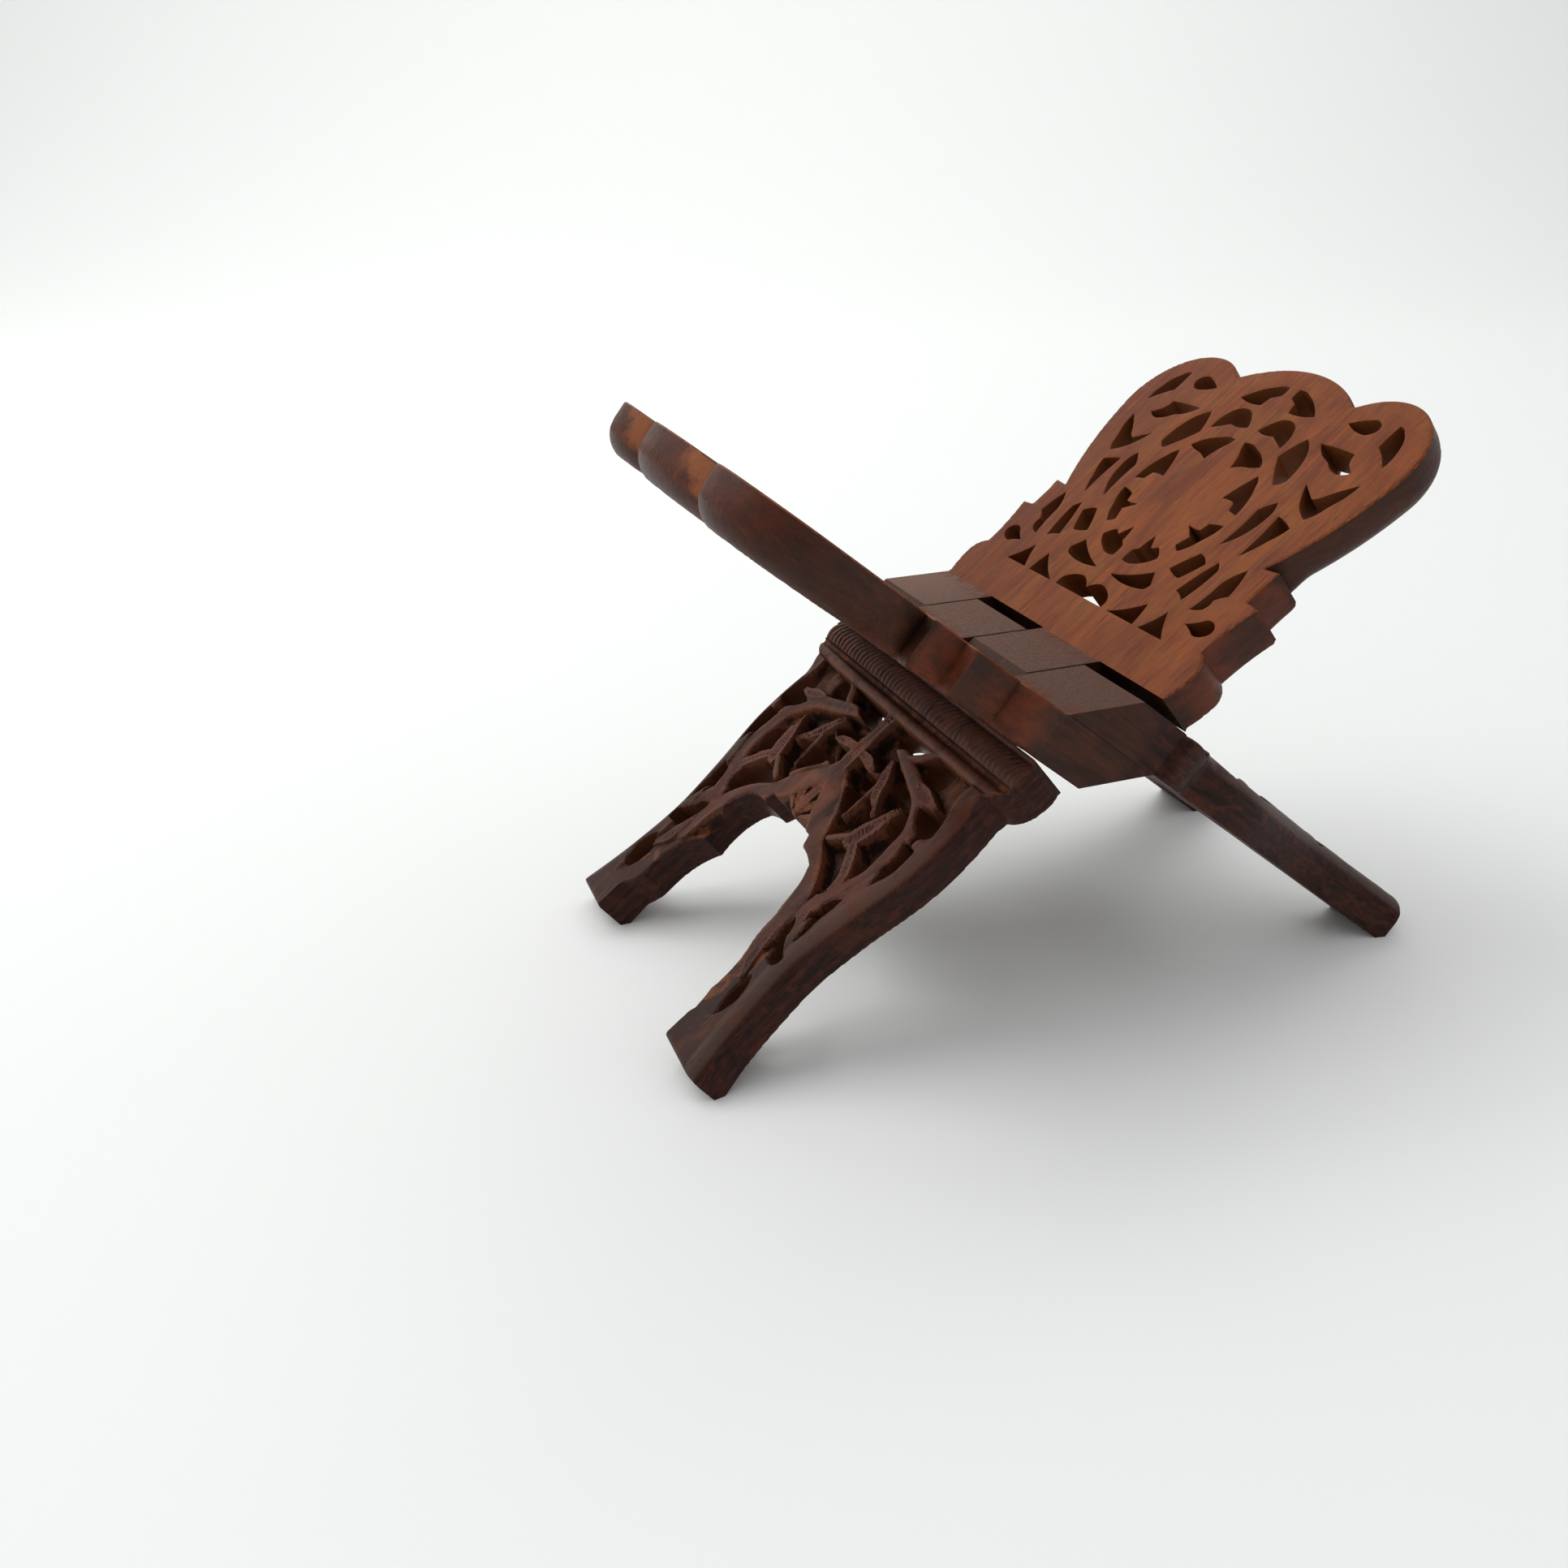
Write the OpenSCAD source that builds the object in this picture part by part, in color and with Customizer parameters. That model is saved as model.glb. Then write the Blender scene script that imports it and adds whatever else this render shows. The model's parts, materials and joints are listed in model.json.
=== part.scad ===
// Folding book stand (rehal) carved from a single plank.
// The plank is sawn into two leaves that stay linked like a chain through their own knuckles.
// Frame: +Z up, origin on the floor under the hinge line, hinge line along Y.

/* [Plank] */
// Width across the widest carved bands
plank_w = 156; // [140:1:180]
// Width of the plank at the hinge knuckles
hinge_w = 152; // [136:1:156]
// Thickness of one leaf, half the plank
leaf_t = 17.5; // [14:0.5:20]
// Saw cut that parts the two leaves
kerf = 0.6; // [0.4:0.1:1.2]

/* [Lengths] */
// Hinge line to the crest of the book rest
upper_l = 158.5; // [150:0.5:180]
// Hinge line to the end of a leg
lower_l = 174; // [165:0.5:190]
// Depth cut off each foot's lower corner, level with the floor
foot_cut = 2.2; // [0.5:0.1:4]

/* [Hinge] */
// Angle between the leaves when the stand is open
open_angle = 103; // [96:0.2:104]
// Clearance between the shoulders of the leaves when the stand is open
stop_gap = 0.4; // [0.3:0.1:1]
// Width of one inner knuckle
knuckle_w = 39; // [34:1:42]
// Saw cut between neighbouring knuckles
knuckle_gap = 0.6; // [0.4:0.1:1]

/* [Carving] */
// Turn of an arc taken by one straight step, in degrees
arc_step = 18; // [10:1:30]

/* [Hidden] */

lean = open_angle / 2;           // lean of each leaf from upright
bevel = tan(lean);               // rise of a knuckle face, level when the stand is open
hinge_half = leaf_t * bevel + stop_gap;     // half the hinge band, whose ends are the shoulders
hinge_h = lower_l * cos(lean) - foot_cut;   // height of the hinge line above the floor
half_kerf = kerf / 2;
bevel_top = hinge_half - kerf;   // where a knuckle face meets the middle of the plank
slab_t = leaf_t - half_kerf;
overlap = 2;                     // how far a knuckle runs into its leaf
far = 250;                       // past every end of the plank

// Sizes at which the outlines below are drawn
drawn_w = 156;
drawn_upper = 158.5;
drawn_lower = 174;
drawn_band = 22;

// An outline is a list of [y, v, s]: y across the plank, v along it from the hinge line,
// and s the rise of the arc to the next point, to the right of the way along.

// Outer edge of the book rest, right half, from the hinge band up to the crest
upper_edge = [
    [76, 22, 0.5],       // base band
    [78.3, 33.5, 1.8],
    [72.5, 42.2, -0.8],  // first shoulder
    [76, 64.4, 0],
    [69.6, 65, -0.4],    // second shoulder
    [70, 79.2, 0],
    [63, 78.6, 2.6],     // flank
    [78.2, 126, 17.3],   // side lobe
    [32.5, 148.4, 2.6],  // crest
    [0, 158.5, 0]
];

// Outer edge of a leg, right half, from the foot up to the hinge band
lower_edge = [
    [72.5, -174, -0.4],
    [66, -146, -2.5],    // ankle
    [66.5, -103, 3.8],   // calf
    [69.6, -46, 0],
    [70, -41.5, 2],      // collar band
    [78, -31, 0],
    [78, -26, 0.2],
    [76, -22, 0]
];

// Arch between the feet, right half, from below the floor up to its flat top
arch_edge = [
    [46, -185, 0],
    [46, -160, -0.4],
    [42.5, -152, 3.2],   // scoop above the foot
    [35, -124.5, 3.6],   // cusp
    [31, -99.5, 0.6],    // shoulder
    [20, -97, 0],
    [17.5, -92.5, 0],
    [0, -92.5, 0]
];

// Pierced openings of the book rest on its centre line
upper_centre_gaps = [
    [[-15.5, 39.5, 0], [15.5, 39.5, 0.6], [14.5, 44, 0.8], [6, 47.4, 0.6],
     [0, 43.8, 0.6], [-6, 47.4, 0.8], [-14.5, 44, 0.6]]
];

// Pierced openings of the book rest, right half, from the base band up
upper_side_gaps = [
    // bottom row: two spandrels and a drop
    [[19.5, 39.5, 0], [35.5, 39.5, 0.3], [33.6, 49, -0.8]],
    [[39, 39.5, 0], [53, 39.5, -0.6], [44.6, 49.8, -0.5]],
    [[55.5, 48.6, -0.3], [62, 46, 0.7], [67.6, 48, 1], [67.6, 52.2, 1], [62, 53, -0.3]],
    // second row: boat, kite, sliver and split leaf
    [[4.5, 52.8, 1.4], [25, 52.8, 0.4], [26.6, 55.6, 0], [22.8, 60.8, -1]],
    [[27, 64.5, 0.5], [34.6, 62.4, 0.2], [39.6, 71.4, 0.6], [33.4, 74.5, 0.3]],
    [[38.8, 58, -0.5], [44.6, 55.4, 0.6], [47, 71, 0.3], [44, 74, 0.4]],
    [[51.4, 54, 0.4], [56.5, 56, 0.6], [57, 60.5, -0.3], [61, 64, 0.5], [58, 75.6, 0.5], [53.4, 68, -0.4]],
    // ring of thorned leaves round the plain medallion
    [[3, 59.8, 1], [12, 61, 0.6], [17.8, 66, 0.4], [13.5, 70, 0], [10.5, 68.4, 0],
     [7, 73.6, 0.3], [5.6, 66.6, 0], [3.2, 65, 0.3]],
    [[16.2, 82.8, 0], [21.5, 78.6, 0], [19.4, 73.6, 0.3], [22.6, 71.5, 0.6], [28, 79, 0.6],
     [31, 87.4, 0.3], [24, 86, 0], [23, 82.5, -0.3]],
    [[18.2, 97.5, -0.3], [24.8, 97.3, 0], [26.2, 93.8, 0], [31, 92.8, 1], [27, 106, 0.5],
     [23.4, 110.4, 0.5]],
    [[6.2, 115.4, 0], [7.8, 110, 0], [12.6, 112, 0.4], [20.8, 114.2, 1], [11, 120.8, 0.8],
     [2.8, 121.9, 0.3]],
    // outer wreath
    [[3, 128.3, 0.8], [12, 127.8, 0], [20.2, 123.8, 0.8], [18.6, 132.4, 0.8], [13, 136, 0.6],
     [7.4, 134.4, 0.5]],
    [[23, 120.6, 0.4], [33, 109, 0.5], [36.8, 112, 0.8], [34, 124.4, 0.6], [27.6, 130.8, 0.5]],
    [[37.2, 98, -0.6], [36.8, 80.4, 0.3], [42, 87, 0.6], [44.4, 97.6, 0.5], [42.3, 103.3, 0.3]],
    [[48.6, 79, 0.4], [53.8, 88, 0.4], [57, 95.6, 0.4], [48, 98.5, -0.5]],
    // crest pair
    [[2.9, 145.3, 0], [6.8, 143.2, 0.2], [8, 139, 0.8], [20.8, 140.2, 0.9], [9, 148.6, 0.5],
     [2.8, 149.8, 0.4]],
    // side lobe: lens, drop, crescent and swallowtail
    [[34.8, 130.6, 1], [44.5, 124.4, 0.6], [52, 120.7, 0.6], [58, 122.7, 0], [54, 125.6, -0.4],
     [52, 130.2, 0.3]],
    [[37, 141.4, 0.6], [46.6, 138.4, 0.7], [51, 141, 0.7], [49.8, 144.6, 0.8], [44.4, 145, 0.3]],
    [[57.8, 135.4, 0], [62, 132.6, 0], [67, 128, 0.6], [66.2, 136.6, 0.6], [62, 143.2, 0.6],
     [57.8, 145.4, 0.2]],
    [[52, 104.4, 0], [58.6, 100.4, 0.6], [62.6, 107.6, 0.8], [66, 119.4, 0.3], [57.4, 111.6, -0.4],
     [53.4, 108.8, 0], [45.6, 113.6, 0.4]]
];

// Pierced openings of the legs, right half, from the collar band down
lower_side_gaps = [
    // under the collar
    [[3.5, -44.6, 0.6], [12, -50, 0.6], [22, -45.4, 0], [28.5, -41.8, 0], [8, -41.8, 0.3]],
    [[33, -45.8, 0.5], [38, -50, 0.6], [46, -50.4, 0.6], [48.6, -46, 0], [48, -41.8, 0], [37, -42, 0.3]],
    [[50.4, -58.4, 0.6], [56, -63.6, 0.8], [63.6, -66, 0.4], [67.4, -63, 0.5], [65, -54, 0.4],
     [60.4, -47.4, 0], [59.6, -53, 0.4], [57.6, -56.6, 0.3]],
    // inner scroll beside the rib
    [[4.6, -63.6, 0.3], [9, -67.2, 0.6], [15, -65.6, 0.6], [19.6, -61, -0.4], [12, -61.6, -0.4]],
    [[4, -55.4, -0.3], [9, -56, -0.5], [17.4, -60, 0.3], [20.8, -57.4, 0.7], [16, -52.8, 0.6],
     [9, -52.4, 0.4]],
    [[10.6, -70.6, 0], [22, -81.6, 0.4], [23.2, -68.4, 0.6], [17.6, -66.6, 0]],
    [[25, -68.4, -0.5], [25, -80.6, 0.3], [27.4, -83, 0.4], [32.4, -78.4, 0.6], [34, -72.6, 0.6],
     [31, -69.4, 0.4]],
    [[26.4, -54, -0.5], [29, -60.4, -0.4], [38, -69, 0.4], [41, -66, 0.6], [37.6, -58.6, 0.6],
     [32, -54.8, 0.3]],
    // outer scroll and side slits
    [[44.4, -68, -0.5], [47.4, -86, 0.3], [51.4, -90.4, 0.6], [54.2, -84, 0.8], [52.4, -72, 0.6],
     [46, -61, 0.3]],
    [[59, -70, -0.4], [61.4, -81, -0.3], [63.4, -88.4, 0.3], [66.8, -80, 0.3], [66.8, -70, 0.3]],
    [[32, -85.6, -0.5], [37, -94, -0.4], [44.6, -105, 0.3], [47.8, -102, 0.6], [47, -94, 0.5],
     [40, -87, 0.4]],
    // leg: slit, lozenge and almond
    [[52.8, -105, -0.4], [57.8, -120, 0.4], [58.6, -108, 0.4], [59.4, -97.4, -0.4], [55.4, -99.6, 0.4]],
    [[47, -121.4, 0.4], [51.4, -129.2, 0.4], [58.6, -130.2, 0.6], [59.6, -125.6, -0.3], [53.6, -121, -0.3],
     [50.6, -116, 0.3], [46.6, -114, 0.5]],
    [[51.8, -144, 0.6], [53, -152, 0.5], [56.4, -156, 0.5], [59.2, -150, 0.6], [58.6, -142, 0.4],
     [55.4, -137, 0.5]]
];

// Columns of the hinge along Y that this leaf's own knuckles fill, [from, to]
knuckles = [[-far, -knuckle_w], [0, knuckle_w]];

// Straight steps of an arc from p towards q that rises s to the right; q is left out
function arc(p, q, s) =
    s == 0 ? [p] :
    let (chord = norm(q - p),
         right = [q.y - p.y, p.x - q.x] / chord,
         radius = (chord * chord / 4 + s * s) / (2 * s),
         centre = (p + q) / 2 + right * (s - radius),
         turn = 4 * atan(2 * s / chord),
         steps = max(2, ceil(abs(turn) / arc_step)))
    [for (i = [0 : steps - 1])
        let (a = turn * i / steps, d = p - centre)
        centre + [d.x * cos(a) - d.y * sin(a), d.x * sin(a) + d.y * cos(a)]];

function flat(p) = [p.x, p.y];

// Points of an open outline, and of a closed one
function open_line(points) =
    let (last = len(points) - 1)
    [for (i = [0 : last - 1]) each arc(flat(points[i]), flat(points[i + 1]), points[i].z),
     flat(points[last])];

function closed_line(points) =
    [for (i = [0 : len(points) - 1])
        each arc(flat(points[i]), flat(points[(i + 1) % len(points)]), points[i].z)];

// A drawn point moved to the stand's own width and length
function sized(p) =
    let (stretch = p.y > 0 ? (upper_l - hinge_half) / (drawn_upper - drawn_band)
                           : (lower_l - hinge_half) / (drawn_lower - drawn_band))
    [p.x * plank_w / drawn_w, sign(p.y) * (hinge_half + (abs(p.y) - drawn_band) * stretch)];

function all_sized(points) = [for (p = points) sized(p)];

// A right half with its mirror image, as one closed outline
function both_halves(points) =
    concat(points, [for (i = [len(points) - 1 : -1 : 0])
                        if (points[i].x > 0.01) [-points[i].x, points[i].y]]);

module gaps(shapes) {
    for (shape = shapes)
        polygon(all_sized(closed_line(shape)));
}

// Flat shape of the book rest, y across and v up
module upper_shape() {
    difference() {
        polygon(both_halves(all_sized(open_line(upper_edge))));
        gaps(upper_centre_gaps);
        gaps(upper_side_gaps);
        mirror([1, 0]) gaps(upper_side_gaps);
    }
}

// Flat shape of the pair of legs
module lower_shape() {
    difference() {
        polygon(both_halves(all_sized(open_line(lower_edge))));
        polygon(both_halves(all_sized(open_line(arch_edge))));
        gaps(lower_side_gaps);
        mirror([1, 0]) gaps(lower_side_gaps);
    }
}

// A flat shape stood up along the plank, from u across the thickness
module slab(u) {
    translate([u, 0, 0])
        rotate([90, 0, 90])
            linear_extrude(slab_t)
                children();
}

// Side profile of a knuckle, u across the plank's thickness and v along it
module knuckle_profile() {
    polygon([
        [-leaf_t, hinge_half + overlap],
        [-half_kerf, hinge_half + overlap],
        [-half_kerf, bevel_top + half_kerf * bevel],
        [leaf_t, bevel_top - leaf_t * bevel],
        [leaf_t, -hinge_half - overlap],
        [half_kerf, -hinge_half - overlap],
        [half_kerf, -bevel_top - half_kerf * bevel],
        [-leaf_t, leaf_t * bevel - bevel_top]
    ]);
}

// One knuckle between y0 and y1, kept inside the hinge width and clear of its neighbours
module knuckle(y0, y1) {
    from = max(y0 + knuckle_gap / 2, -hinge_w / 2);
    to = min(y1 - knuckle_gap / 2, hinge_w / 2);
    translate([0, to, 0])
        rotate([90, 0, 0])
            linear_extrude(to - from)
                knuckle_profile();
}

// A whole leaf along the plank: book rest, knuckles and legs in one piece of wood
module leaf() {
    slab(-leaf_t) upper_shape();
    slab(half_kerf) lower_shape();
    for (k = knuckles)
        knuckle(k[0], k[1]);
}

// The leaf leaning as it stands open, its feet cut level with the floor
module standing_leaf() {
    difference() {
        translate([0, 0, hinge_h])
            rotate([0, -lean, 0])
                leaf();
        translate([-far, -far, -far])
            cube([2 * far, 2 * far, far]);
    }
}

module left_leaf() {
    color([0.36, 0.19, 0.13])
        standing_leaf();
}

module right_leaf() {
    color([0.52, 0.29, 0.17])
        rotate([0, 0, 180])
            standing_leaf();
}

left_leaf();
right_leaf();
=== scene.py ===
import json
import math

import bpy
import numpy as np
from mathutils import Matrix, Vector
from mathutils.geometry import delaunay_2d_cdt
from mathutils.kdtree import KDTree


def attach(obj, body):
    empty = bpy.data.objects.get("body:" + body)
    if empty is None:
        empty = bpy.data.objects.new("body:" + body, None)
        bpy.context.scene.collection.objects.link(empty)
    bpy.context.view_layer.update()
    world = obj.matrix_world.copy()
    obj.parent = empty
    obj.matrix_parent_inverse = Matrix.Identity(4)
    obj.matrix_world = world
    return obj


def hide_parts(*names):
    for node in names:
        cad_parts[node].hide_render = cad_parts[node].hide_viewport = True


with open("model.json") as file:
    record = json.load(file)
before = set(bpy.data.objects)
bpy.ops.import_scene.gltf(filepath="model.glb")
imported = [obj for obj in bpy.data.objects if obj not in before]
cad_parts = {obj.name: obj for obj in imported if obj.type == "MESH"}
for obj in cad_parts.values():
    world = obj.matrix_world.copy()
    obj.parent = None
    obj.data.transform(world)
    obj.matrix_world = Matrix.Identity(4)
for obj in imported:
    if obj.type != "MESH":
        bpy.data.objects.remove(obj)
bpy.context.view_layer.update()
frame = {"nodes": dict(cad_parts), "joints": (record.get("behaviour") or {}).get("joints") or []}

# A plank point is (u, y, v) in millimetres: u across the thickness, y across the width and v along the
# grain from the hinge line. Both leaves are the same in it: the book rest has v > 0 and u < 0, its plain
# book side at u = -KERF; the legs have v < 0 and u > 0, their plain side at u = KERF. Carved sides face
# outwards.
FOLD = frame["joints"][0]
LEAN = math.radians(abs(FOLD["range_deg"][0])) / 2
HINGE = FOLD["pos_m"][2] * 1000              # height of the hinge line
THICK = 17.5                                 # from the plank's middle plane to a carved face
KERF = 0.3                                   # from the middle plane to a plain side
BAND = THICK * math.tan(LEAN) + 0.4          # nothing is reshaped nearer the hinge line than this
KNUCKLE = 39.0                               # length of a knuckle along the hinge
FOOT = -172.0                                # the sawn ends of the legs lie beyond this
LEG_GROUND = 8.0                             # depth of the sunk ground between the legs' strands
SHOULDER_GROUND = 4.4                        # the same at the legs' shoulders
REST_GROUND = 3.6                            # the same on the book rest

CELL = 0.25           # grid of the carving fields
LEG_SPACING = 0.58    # between mesh points on the carved side of the legs
REST_SPACING = 0.8    # the same on the book rest
PLAIN_SPACING = 0.8                          # between mesh points along the edges of the plain sides
MOST_BEND = math.radians(24)                 # a sharper turn of an outline is a corner
SHARP = math.radians(30)


# ---------------------------------------------------------------- plank coordinates

def to_plank(co, turn):
    """Row-frame metres to plank millimetres. The right leaf is the left one turned half round, turn = -1."""
    x, y, z = co[:, 0] * 1000 * turn, co[:, 1] * 1000 * turn, co[:, 2] * 1000 - HINGE
    c, s = math.cos(LEAN), math.sin(LEAN)
    return np.column_stack((x * c + z * s, y, z * c - x * s))


def from_plank(co, turn):
    c, s = math.cos(LEAN), math.sin(LEAN)
    x = co[:, 0] * c - co[:, 2] * s
    z = co[:, 0] * s + co[:, 2] * c + HINGE
    return np.column_stack((x * turn, co[:, 1] * turn, z)) / 1000


# ---------------------------------------------------------------- fields over one face

def smooth(x, lo, hi):
    t = np.clip((x - lo) / (hi - lo), 0, 1)
    return t * t * (3 - 2 * t)


def mix(a, b, t):
    return a + (b - a) * t


def quarter_round(distance, radius, depth=None):
    """Depth of a rounded edge at some distance in from it."""
    q = np.clip(1 - distance / radius, 0, 1)
    return (1 - np.sqrt(1 - q * q)) * (radius if depth is None else depth)


class Face:
    """A grid of points over one carved face, y across and v along, and the fields held on it."""

    def __init__(self, v0, v1, half=81.0):
        self.low = np.array((-half, v0))
        self.shape = (int(2 * half / CELL) + 1, int((v1 - v0) / CELL) + 1)
        self.y = (-half + CELL * np.arange(self.shape[0]))[:, None]
        self.v = (v0 + CELL * np.arange(self.shape[1]))[None, :]

    def zeros(self):
        return np.zeros(self.shape)

    def window(self, points, reach):
        lo = np.floor((points.min(0) - reach - self.low) / CELL).astype(int)
        hi = np.ceil((points.max(0) + reach - self.low) / CELL).astype(int) + 1
        lo = np.clip(lo, 0, self.shape)
        hi = np.clip(hi, 0, self.shape)
        return slice(lo[0], hi[0]), slice(lo[1], hi[1])

    def near(self, a, b, reach):
        """Window round a segment, with the distance of each point in it, how far along the segment it lies,
        and how far to its left."""
        win = self.window(np.array((a, b)), reach)
        dy, dv = self.y[win[0]] - a[0], self.v[:, win[1]] - a[1]
        ey, ev = b[0] - a[0], b[1] - a[1]
        t = np.clip((dy * ey + dv * ev) / max(ey * ey + ev * ev, 1e-9), 0, 1)
        left = (ey * dv - ev * dy) / max(math.hypot(ey, ev), 1e-6)
        return win, np.hypot(dy - t * ey, dv - t * ev), t, left

    def distance(self, segments, reach):
        d = np.full(self.shape, float(reach))
        for a, b in segments:
            win, r, _, _ = self.near(a, b, reach)
            d[win] = np.minimum(d[win], r)
        return d

    def raise_strand(self, depth, points, top, drop, vein=0.0, slant=0.0, slope=6.0):
        """Leaves a strand standing in a sunk field. points are (y, v, half width) and top the depth of its
        higher edge. A ribbon tips over to one side by drop * slant; a strand with a vein is a leaf, hollowed
        by drop towards a groove along its middle."""
        for p, q in zip(points[:-1], points[1:]):
            win, r, t, left = self.near(p[:2], q[:2], max(p[2], q[2]) + 5)
            half = mix(p[2], q[2], t)
            across = np.clip(left / half, -1, 1)
            inside = np.minimum(r / half, 1)
            if vein:
                d = top + drop * (1 - inside) + vein * np.exp(-(r / 0.6) ** 2)
            else:
                d = top + drop * (abs(slant) + slant * across) / 2 + 0.5 * drop * inside ** 3
            d = d + slope * np.maximum(r - half, 0)
            depth[win] = np.minimum(depth[win], d)

    def sample(self, field, y, v):
        i = np.clip((y - self.low[0]) / CELL, 0, self.shape[0] - 1.001)
        j = np.clip((v - self.low[1]) / CELL, 0, self.shape[1] - 1.001)
        a, b = i.astype(int), j.astype(int)
        p, q = i - a, j - b
        near = field[a, b] * (1 - p) + field[a + 1, b] * p
        far = field[a, b + 1] * (1 - p) + field[a + 1, b + 1] * p
        return near * (1 - q) + far * q

    def rough(self, seed, size, amount):
        """Smooth uneven surface, its lumps about size wide."""
        rng = np.random.default_rng(seed)
        n = [int(s * CELL / size) + 3 for s in self.shape]
        coarse = rng.uniform(-1, 1, n)
        i = np.arange(self.shape[0]) * CELL / size
        j = np.arange(self.shape[1]) * CELL / size
        a, b = i.astype(int), j.astype(int)
        p, q = smooth(i - a, 0, 1)[:, None], smooth(j - b, 0, 1)[None, :]
        near = coarse[a][:, b] * (1 - p) + coarse[a + 1][:, b] * p
        far = coarse[a][:, b + 1] * (1 - p) + coarse[a + 1][:, b + 1] * p
        return amount * (near * (1 - q) + far * q)


def blurred(field, reach):
    """Box blur of a field, twice over."""
    n = max(1, int(reach / CELL))
    for _ in range(2):
        for axis in (0, 1):
            f = np.moveaxis(field, axis, 0)
            padded = np.concatenate((np.repeat(f[:1], n + 1, 0), f, np.repeat(f[-1:], n, 0)))
            total = padded.cumsum(0)
            f = (total[2 * n + 1:] - total[:-2 * n - 1]) / (2 * n + 1)
            field = np.moveaxis(f, 0, axis)
    return field


def curve(points, step=1.2):
    """Smooth line through the points, (y, v, half width) each."""
    p = np.array(points, float)
    p = np.concatenate((p[:1] * 2 - p[1:2], p, p[-1:] * 2 - p[-2:-1]))
    out = []
    for i in range(1, len(p) - 2):
        n = max(2, int(np.hypot(*(p[i + 1] - p[i])[:2]) / step))
        t = (np.arange(n) / n)[:, None]
        out.append(0.5 * (2 * p[i] + (p[i + 1] - p[i - 1]) * t
                          + (2 * p[i - 1] - 5 * p[i] + 4 * p[i + 1] - p[i + 2]) * t ** 2
                          + (3 * p[i] - p[i - 1] - 3 * p[i + 1] + p[i + 2]) * t ** 3))
    out = np.concatenate(out + [p[-2:-1]])
    out[:, 2] = np.maximum(out[:, 2], 0.25)
    return out


# ---------------------------------------------------------------- clean mesh from the CAD node

def coordinates(mesh):
    co = np.zeros(len(mesh.vertices) * 3)
    mesh.vertices.foreach_get("co", co)
    return co.reshape(-1, 3)


def welded(node, turn):
    """The CAD node in plank coordinates: points, triangles, and for each point the first one in its column,
    which is a line across the thickness."""
    plank = to_plank(coordinates(node.data), turn)
    node.data.calc_loop_triangles()
    tris = np.zeros(len(node.data.loop_triangles) * 3, int)
    node.data.loop_triangles.foreach_get("vertices", tris)
    spots, columns = KDTree(len(plank)), KDTree(len(plank))
    for i, p in enumerate(plank):
        spots.insert(p, i)
        columns.insert((0, p[1], p[2]), i)
    spots.balance()
    columns.balance()
    first = np.array([min(j for _, j, _ in spots.find_range(p, 0.004)) for p in plank])
    column = np.array([min(j for _, j, _ in columns.find_range((0, p[1], p[2]), 0.004)) for p in plank])
    tris = first[tris].reshape(-1, 3)
    tris = tris[(tris[:, 0] != tris[:, 1]) & (tris[:, 1] != tris[:, 2]) & (tris[:, 2] != tris[:, 0])]
    return plank, tris, column


def boundary(tris):
    """Next point of each point along the edge of a patch of triangles."""
    edges = {(int(t[i]), int(t[(i + 1) % 3])) for t in tris for i in range(3)}
    return {a: b for a, b in edges if (b, a) not in edges}


def closed_loops(links):
    left, loops = dict(links), []
    while left:
        loop = [min(left)]
        while loop[-1] in left:
            loop.append(left.pop(loop[-1]))
        loops.append(loop[:-1])
    return loops


class Outline:
    """Outline of one carved face by columns, its arcs drawn smooth through the CAD points."""

    def __init__(self, links, place, walls):
        self.links, self.place, self.walls = links, place, walls
        self.back = {b: a for a, b in links.items()}

    def tangent(self, a, b, at):
        """Direction of the outline at one end of a CAD edge, or None where that end is a corner."""
        before, after = (self.back[a], b) if at == a else (a, self.links[b])
        p, q, r = self.place[before], self.place[at], self.place[after]
        one, two = q - p, r - q
        bend = abs(math.atan2(one[0] * two[1] - one[1] * two[0], one @ two))
        lengths = sorted((np.hypot(*one), np.hypot(*two)))
        if bend > MOST_BEND or lengths[1] > 2.2 * lengths[0]:
            return None
        return (r - p) / np.hypot(*(r - p))

    def samples(self, a, b, step):
        """Points of the outline from a to b, both taken in."""
        p, q = self.place[a], self.place[b]
        length = np.hypot(*(q - p))
        if max(abs(p[1]), abs(q[1])) < BAND + 0.1:
            return np.array((p, q))
        n = max(1, math.ceil(length / step))
        t = np.arange(n + 1)[:, None] / n
        chord = (q - p) / length
        one, two = self.tangent(a, b, a), self.tangent(a, b, b)
        if frozenset((a, b)) not in self.walls or (one is None and two is None):
            return p + (q - p) * t
        if one is None:
            one = 2 * (chord @ two) * chord - two
        if two is None:
            two = 2 * (chord @ one) * chord - one
        rise = t * t * (3 - 2 * t)
        return p + (q - p) * rise + length * (one * (t ** 3 - 2 * t ** 2 + t) + two * (t ** 3 - t ** 2))

    def segments(self, step=1.2):
        """Straight pieces of each closed line, the longest line first."""
        out = []
        for loop in closed_loops(self.links):
            pieces = []
            for a, b in zip(loop, loop[1:] + loop[:1]):
                line = self.samples(a, b, step)
                pieces += list(zip(line[:-1], line[1:]))
            out.append(pieces)
        return sorted(out, key=lambda pieces: -np.ptp([p[1] for s in pieces for p in s]))


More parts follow.
